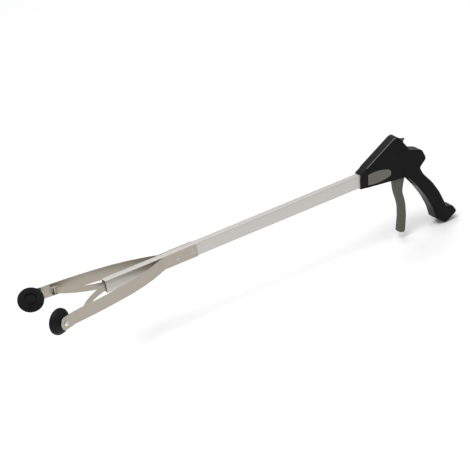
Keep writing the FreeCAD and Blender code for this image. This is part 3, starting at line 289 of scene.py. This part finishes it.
CAD_FINISHES: Dict[str, Finish] = {
    "tube": TUBE,
    "tube_collar": BLACK,
    "housing": SHELL,
    "side_inlay": LEAF,
    "housing_screws": ZINC,
    "trigger": LEVER,
    "trigger_pivot_pin": STEEL,
    "trigger_spring": STEEL,
    "yoke_pin": STEEL,
    "lock_latch": LEVER,
    "latch_pin": STEEL,
    "pull_rod": STEEL,
    "rod_eye": BLACK,
    "crosshead": BLACK,
    "arm_rivets": STEEL,
    "arm": STRIP,
    "link": STRIP,
    "link_outer_pin": STEEL,
    "link_inner_pin": STEEL,
    "cup": RUBBER,
    "cup_screw": ZINC,
    "cup_nut": STEEL,
}


class Palette:
    """Keeps one material for each finish."""

    def __init__(self) -> None:
        self.made: Dict[str, bpy.types.Material] = {}

    def get(self, finish: Finish) -> bpy.types.Material:
        """Returns: the material of a finish, made once."""
        if finish.name not in self.made:
            self.made[finish.name] = finish.build()
        return self.made[finish.name]

    def dress(self, nodes: Dict[str, bpy.types.Object]) -> None:
        """Gives each carried node the finish with the longest name that fits it.

        Args:
            nodes: the carried nodes by name.
        """
        for name, node in nodes.items():
            stem = max((key for key in CAD_FINISHES if name.startswith(key)), key=len)
            material = self.get(CAD_FINISHES[stem])
            for slot in node.material_slots:
                slot.material = material


# ------------------------------------------------------------------------ paths
class Walk:
    """A flat path of straights and arcs.

    Args:
        start: first point in millimetres.
        heading: first direction in degrees.
        step: longest step along an arc or a straight.
    """

    LEAST_ARC_STEPS = 6

    def __init__(self, start: Tuple[float, float], heading: float, step: float) -> None:
        self.points: List[Vector] = [Vector(start)]
        self.headings: List[float] = [math.radians(heading)]
        self.step = step

    def _advance(self, length: float, turn: float) -> None:
        """Goes one step, as the chord of an arc that turns by an angle in radians."""
        heading = self.headings[-1] + turn / 2
        ahead = Vector((math.cos(heading), math.sin(heading)))
        self.points.append(self.points[-1] + length * ahead)
        self.headings.append(self.headings[-1] + turn)

    def straight(self, length: float) -> "Walk":
        """Goes straight on."""
        count = max(1, math.ceil(length / self.step))
        for _ in range(count):
            self._advance(length / count, 0.0)
        return self

    def arc(self, radius: float, turn: float) -> "Walk":
        """Turns by an angle in degrees, left when it is positive."""
        angle = math.radians(turn)
        count = max(self.LEAST_ARC_STEPS, math.ceil(abs(angle) * radius / self.step))
        for _ in range(count):
            self._advance(2 * radius * math.sin(abs(angle) / count / 2), angle / count)
        return self


def mesh_object(name: str, points: Sequence[Point], faces: Sequence[Sequence[int]],
                material: bpy.types.Material, smooth: float = 40.0) -> bpy.types.Object:
    """Makes a mesh piece with outward faces.

    Args:
        name: the piece's name.
        points: corners in metres.
        faces: corner numbers of each face.
        material: the piece's material.
        smooth: the largest angle in degrees that is shaded smooth.

    Returns: the new piece.
    """
    mesh = bpy.data.meshes.new(name)
    mesh.from_pydata([tuple(point) for point in points], [], [tuple(face) for face in faces])
    work = bmesh.new()
    work.from_mesh(mesh)
    bmesh.ops.recalc_face_normals(work, faces=work.faces)
    for edge in work.edges:
        edge.smooth = len(edge.link_faces) == 2 and edge.calc_face_angle(0.0) < math.radians(smooth)
    for face in work.faces:
        face.smooth = True
    work.to_mesh(mesh)
    work.free()
    mesh.materials.append(material)
    piece = bpy.data.objects.new(name, mesh)
    bpy.context.scene.collection.objects.link(piece)
    return piece


# ------------------------------------------------------------------------- arms
@dataclass(frozen=True)
class StripSizes:
    """Sizes of one spring strip in millimetres and degrees."""

    width: float = 19.05
    thickness: float = 1.2
    step: float = 1.5
    heel_x: float = 148.08
    root_y: float = 6.95
    flat: float = 53.7
    bend_radius: float = 5.0
    root_angle: float = 29.0
    slope: float = 13.66
    belly_radius: float = 242.5
    belly_angle: float = 13.0
    reach_radius: float = 781.0
    reach_angle: float = 6.3
    tip_radius: float = 8.0
    tip_angle: float = 21.0
    tip_length: float = 25.5
    heel_round: float = 2.0
    tip_round: float = 7.5
    edge: float = 0.18
    heel_steps: int = 4
    tip_steps: int = 8
    flex_from: float = 100.0
    flex_to: float = 60.0


class SpringStrip:
    """One jaw's spring strip, bent from the rivets to the cup in one piece.

    Args:
        sizes: the strip's sizes.
        palette: the materials.
    """

    def __init__(self, sizes: StripSizes, palette: Palette) -> None:
        self.sizes = sizes
        self.palette = palette

    def _half_width(self, gone: float, total: float) -> float:
        """Returns: half the strip's width at a length along it, with its corners rounded."""
        half = self.sizes.width / 2
        for left, radius in ((gone, self.sizes.heel_round), (total - gone, self.sizes.tip_round)):
            if left < radius:
                reach = radius ** 2 - (radius - max(left, 0.0)) ** 2
                half = self.sizes.width / 2 - radius + math.sqrt(max(reach, 0.0))
        return half

    def _path(self) -> Walk:
        """Returns: the strip's middle line from its heel behind the rivets to its tip."""
        sizes = self.sizes
        walk = Walk((sizes.heel_x, sizes.root_y), 180.0, sizes.step)
        for _ in range(sizes.heel_steps):
            walk.straight(sizes.heel_round / sizes.heel_steps)
        walk.straight(sizes.flat - sizes.heel_round)
        walk.arc(sizes.bend_radius, -sizes.root_angle)
        walk.straight(sizes.slope)
        walk.arc(sizes.belly_radius, sizes.root_angle - sizes.belly_angle)
        walk.arc(sizes.reach_radius, sizes.belly_angle - sizes.reach_angle)
        walk.arc(sizes.tip_radius, sizes.reach_angle - sizes.tip_angle)
        walk.straight(sizes.tip_length - sizes.tip_round)
        quarter = math.pi / 2
        for turn in range(sizes.tip_steps):
            share = math.cos(quarter * (turn + 1) / sizes.tip_steps)
            before = math.cos(quarter * turn / sizes.tip_steps)
            walk.straight(sizes.tip_round * (before - share))
        return walk

    def _ring(self, half: float) -> List[Tuple[float, float]]:
        """Returns: the section's corners, across and up, with its four edges bevelled."""
        thick = self.sizes.thickness / 2
        soft = self.sizes.edge
        return [(thick, half - soft), (thick - soft, half), (soft - thick, half),
                (-thick, half - soft), (-thick, soft - half), (soft - thick, -half),
                (thick - soft, -half), (thick, soft - half)]

    def build(self, name: str, side: int) -> bpy.types.Object:
        """Makes the strip for one side.

        Args:
            name: "left" or "right".
            side: 1 on the left, -1 on the right.

        Returns: the strip, a fixed mesh bent from the rivets to the cup.
        """
        walk = self._path()
        total = sum((b - a).length for a, b in zip(walk.points, walk.points[1:]))
        points: List[Vector] = []
        gone = 0.0
        for index, (at, heading) in enumerate(zip(walk.points, walk.headings)):
            if index:
                gone += (at - walk.points[index - 1]).length
            out = Vector((math.sin(heading), -math.cos(heading)))
            for across, up in self._ring(self._half_width(gone, total)):
                flat = at + out * across
                points.append(MOUTH + Vector((flat.x, side * flat.y, up)) * MM)
        around = len(points) // len(walk.points)
        last = len(points) - around
        faces: List[List[int]] = [list(range(around)), list(range(last, last + around))]
        for first in range(0, last, around):
            for corner in range(around):
                follow = (corner + 1) % around
                faces.append([first + corner, first + follow,
                              first + around + follow, first + around + corner])
        strip = mesh_object("strip_" + name, points, faces, self.palette.get(STRIP))
        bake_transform(strip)
        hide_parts("arm_" + name, "arm_root_" + name)
        return strip


# --------------------------------------------------------------- geometry nodes
class GeometryRecipe:
    """A geometry node group that one piece is made with.

    Args:
        name: the group's name.
        material: the finish of all that it makes.
    """

    def __init__(self, name: str, material: bpy.types.Material) -> None:
        self.tree = bpy.data.node_groups.new(name, "GeometryNodeTree")
        for way in ("INPUT", "OUTPUT"):
            self.tree.interface.new_socket("Geometry", in_out=way, socket_type="NodeSocketGeometry")
        self.graph = Graph(self.tree)
        self.material = material
        self.inlet = self.graph.node("NodeGroupInput")

    def number(self, name: str, value: float) -> Field:
        """Adds a named input with its value.

        Returns: the input as a Field.
        """
        socket = self.tree.interface.new_socket(name, in_out="INPUT",
                                                socket_type="NodeSocketFloat")
        socket.default_value = value
        return Field(self.graph, self.inlet.outputs[name])

    def close(self, shape: Field) -> None:
        """Ends the group: real geometry with its material."""
        real = self.graph.field(self.graph.node("GeometryNodeRealizeInstances", {0: shape}))
        done = self.graph.field(self.graph.node("GeometryNodeSetMaterial", {
            "Geometry": real, "Material": self.material}))
        self.graph.node("NodeGroupOutput", {0: done})

    def apply(self, piece: bpy.types.Object) -> bpy.types.Object:
        """Turns the group's result into the piece's own mesh.

        Returns: the same piece, with no modifier.
        """
        modifier = piece.modifiers.new("recipe", "NODES")
        modifier.node_group = self.tree
        bpy.context.view_layer.update()
        made = piece.evaluated_get(bpy.context.evaluated_depsgraph_get())
        mesh = bpy.data.meshes.new_from_object(made)
        piece.modifiers.clear()
        piece.data = mesh
        mesh.name = piece.name
        return piece


@dataclass(frozen=True)
class LeafSizes:
    """Rib pattern of the side leaf, in millimetres from the tube's mouth."""

    first_x: float = 441.4
    last_x: float = 476.0
    count: int = 22
    top_first: float = 5.4
    top_last: float = 1.2
    top_swell: float = 2.3
    low_first: float = -8.6
    low_last: float = -7.6
    low_swell: float = 1.6
    radius: float = 0.30
    corners: int = 10
    sunk_share: float = 0.35
    face_y: float = 8.98


class LeafRibs:
    """Fine upright ribs on the soft side leaf.

    Args:
        sizes: the pattern's sizes.
        palette: the materials.
    """

    def __init__(self, sizes: LeafSizes, palette: Palette) -> None:
        self.sizes = sizes
        self.palette = palette

    def build(self, name: str, side: int) -> bpy.types.Object:
        """Makes the ribs of one side.

        Args:
            name: "left" or "right".
            side: 1 on the left, -1 on the right.

        Returns: the ribs, riding on the frame.
        """
        sizes = self.sizes
        recipe = GeometryRecipe("ribs_" + name, self.palette.get(LEAF))
        graph = recipe.graph
        pitch = (sizes.last_x - sizes.first_x) / (sizes.count - 1) * MM
        # share * (1 - share) peaks at a quarter, so a swell is four times its height.
        swell_top = recipe.number("Top Swell", 4 * sizes.top_swell * MM)
        swell_low = recipe.number("Low Swell", 4 * sizes.low_swell * MM)
        radius = recipe.number("Rib Radius", sizes.radius * MM)
        line = graph.node("GeometryNodeMeshLine", {
            "Count": sizes.count, "Offset": (pitch, 0.0, 0.0)})
        share = graph.field(graph.node("GeometryNodeInputIndex")) * (1.0 / (sizes.count - 1))
        bulge = share * (1.0 - share)
        top_drop = (sizes.top_last - sizes.top_first) * MM
        low_rise = (sizes.low_last - sizes.low_first) * MM
        top = share * top_drop + sizes.top_first * MM + bulge * swell_top
        low = share * low_rise + sizes.low_first * MM - bulge * swell_low
        shift = graph.field(graph.node("ShaderNodeCombineXYZ", {"Z": (top + low) * 0.5}))
        moved = graph.field(graph.node("GeometryNodeSetPosition", {
            "Geometry": graph.field(line), "Offset": shift}))
        rib = graph.node("GeometryNodeMeshCylinder", {
            "Vertices": sizes.corners, "Radius": radius, "Depth": 1.0})
        scale = graph.field(graph.node("ShaderNodeCombineXYZ", {
            "X": 1.0, "Y": 1.0, "Z": top - low}))
        ribs = graph.field(graph.node("GeometryNodeInstanceOnPoints", {
            "Points": moved, "Instance": graph.field(rib), "Scale": scale}))
        recipe.close(ribs)
        piece = mesh_object("leaf_ribs_" + name, [], [], self.palette.get(LEAF))
        recipe.apply(piece)
        out = sizes.face_y - sizes.radius * sizes.sunk_share
        piece.data.transform(Matrix.Translation(
            MOUTH + Vector((sizes.first_x, side * out, 0.0)) * MM))
        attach(piece, "frame")
        return piece


@dataclass(frozen=True)
class EdgeSizes:
    """The painted highlight edge along the housing's ridge, in millimetres and degrees."""

    start_x: float = 440.5
    start_z: float = 17.0
    rise_angle: float = 27.9
    straight: float = 60.0
    peak_radius: float = 7.0
    peak_turn: float = 62.0
    radius: float = 0.5
    corners: int = 12
    step: float = 4.0
    side_y: float = 8.25


class RidgeEdge:
    """Rounded edge that follows the ridge of the housing, light grey as a painted highlight on the
    black moulding.

    Args:
        sizes: the edge's sizes.
        palette: the materials.
    """

    def __init__(self, sizes: EdgeSizes, palette: Palette) -> None:
        self.sizes = sizes
        self.palette = palette

    def build(self, name: str, side: int) -> bpy.types.Object:
        """Makes the edge of one side.

        Args:
            name: "left" or "right".
            side: 1 on the left, -1 on the right.

        Returns: the edge, riding on the frame.
        """
        sizes = self.sizes
        walk = Walk((sizes.start_x, sizes.start_z), sizes.rise_angle, sizes.step)
        walk.straight(sizes.straight)
        walk.arc(sizes.peak_radius, -sizes.peak_turn)
        points = [MOUTH + Vector((at.x, side * sizes.side_y, at.y)) * MM for at in walk.points]
        # The light grey finish paints the highlight that the ridge edge catches; the moulding
        # itself is black.
        recipe = GeometryRecipe("ridge_" + name, self.palette.get(EDGE_HIGHLIGHT))
        graph = recipe.graph
        radius = recipe.number("Edge Radius", sizes.radius * MM)
        inlet = Field(graph, recipe.inlet.outputs["Geometry"])
        path = graph.field(graph.node("GeometryNodeMeshToCurve", {"Mesh": inlet}))
        ring = graph.node("GeometryNodeCurvePrimitiveCircle", {
            "Resolution": sizes.corners, "Radius": radius})
        swept = graph.field(graph.node("GeometryNodeCurveToMesh", {
            "Curve": path, "Profile Curve": graph.field(ring), "Fill Caps": True}))
        recipe.close(swept)
        mesh = bpy.data.meshes.new("ridge_highlight_edge_" + name)
        mesh.from_pydata([tuple(point) for point in points],
                         [(index, index + 1) for index in range(len(points) - 1)], [])
        piece = bpy.data.objects.new("ridge_highlight_edge_" + name, mesh)
        bpy.context.scene.collection.objects.link(piece)
        recipe.apply(piece)
        for face in piece.data.polygons:
            face.use_smooth = len(face.vertices) == 4
        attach(piece, "frame")
        return piece


# ----------------------------------------------------------------------- studio
@dataclass(frozen=True)
class Lamp:
    """One soft area light.

    Args:
        name: the light's name.
        at: its place in metres.
        power: its power in watts.
        size: the side of its square in metres.
    """

    name: str
    at: Point
    power: float
    size: float


@dataclass(frozen=True)
class Lens:
    """The camera: its place in metres, its turn, and its lens in millimetres."""

    at: Point = (-1.66615, -2.95693, 1.56849)
    right: Point = (0.85634, -0.48267, -0.18360)
    up: Point = (0.35542, 0.29294, 0.88762)
    focal: float = 189.97
    sensor: float = 36.0
    reach: float = 50.0


class Studio:
    """Pale floor, soft lights and the camera.

    Args:
        centre: the point that the lights face.
        floor_z: the floor's height.
    """

    LAMPS: Tuple[Lamp, ...] = (
        Lamp("key", (-1.0, -0.6, 2.6), 46.0, 1.6),
        Lamp("fill", (1.6, -2.2, 1.0), 9.0, 2.0),
        Lamp("back", (0.4, 1.8, 2.4), 26.0, 2.0),
    )
    WHITE: Tuple[float, ...] = (1.0, 1.0, 1.0, 1.0)
    SKY_STRENGTH = 0.45
    FLOOR_HALF = 8.0

    def __init__(self, centre: Vector, floor_z: float) -> None:
        self.centre = centre
        self.floor_z = floor_z

    def light(self) -> None:
        """Adds the lights and the pale surroundings."""
        for lamp in self.LAMPS:
            data = bpy.data.lights.new(lamp.name, "AREA")
            data.energy = lamp.power
            data.size = lamp.size
            light = bpy.data.objects.new(lamp.name, data)
            light.location = lamp.at
            aim = self.centre - Vector(lamp.at)
            light.rotation_euler = aim.to_track_quat("-Z", "Y").to_euler()
            bpy.context.scene.collection.objects.link(light)
        world = bpy.data.worlds.new("pale_room")
        world.use_nodes = True
        sky = world.node_tree.nodes["Background"]
        sky.inputs["Color"].default_value = self.WHITE
        sky.inputs["Strength"].default_value = self.SKY_STRENGTH
        bpy.context.scene.world = world
        bpy.context.scene.view_settings.view_transform = "Standard"

    def lay_floor(self) -> None:
        """Adds the pale floor."""
        half = self.FLOOR_HALF
        corners = [(-half, -half, self.floor_z), (half, -half, self.floor_z),
                   (half, half, self.floor_z), (-half, half, self.floor_z)]
        floor = mesh_object("floor", corners, [(0, 1, 2, 3)], FLOOR.build())
        floor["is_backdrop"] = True

    def add_camera(self, lens: Lens) -> None:
        """Adds the camera, in front of the tube's right side and above it.

        Args:
            lens: the camera's place, turn and lens.
        """
        right, up = Vector(lens.right), Vector(lens.up)
        back = right.cross(up).normalized()
        data = bpy.data.cameras.new("camera")
        data.lens = lens.focal
        data.sensor_width = lens.sensor
        data.clip_end = lens.reach
        camera = bpy.data.objects.new("camera", data)
        turned = Matrix((right, up, back)).transposed().to_4x4()
        camera.matrix_world = Matrix.Translation(lens.at) @ turned
        bpy.context.scene.collection.objects.link(camera)
        bpy.context.scene.camera = camera


class Reacher:
    """The whole tool around its carried frame.
    """

    def __init__(self, frame: Dict[str, object]) -> None:
        self.frame = frame
        self.palette = Palette()

    def build(self) -> None:
        """Dresses the carried nodes and adds the visual pieces."""
        self.palette.dress(self.frame["nodes"])
        strip = SpringStrip(StripSizes(), self.palette)
        ribs = LeafRibs(LeafSizes(), self.palette)
        edge = RidgeEdge(EdgeSizes(), self.palette)
        for name, side in SIDES:
            strip.build(name, side)
            ribs.build(name, side)
            edge.build(name, side)
            LOG.info("built the %s side", name)


def plain(box: Sequence[Sequence[float]]) -> List[List[float]]:
    """Returns: a box as plain lists."""
    return [[float(value) for value in corner] for corner in box]


def main() -> None:
    """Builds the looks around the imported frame."""
    logging.basicConfig(level=logging.INFO)
    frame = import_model()
    before = plain(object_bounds())
    low, high = (Vector(corner) for corner in before)
    studio = Studio((low + high) / 2, low.z)
    studio.light()
    studio.lay_floor()
    studio.add_camera(Lens())
    Reacher(frame).build()


if __name__ == "__main__":
    main()
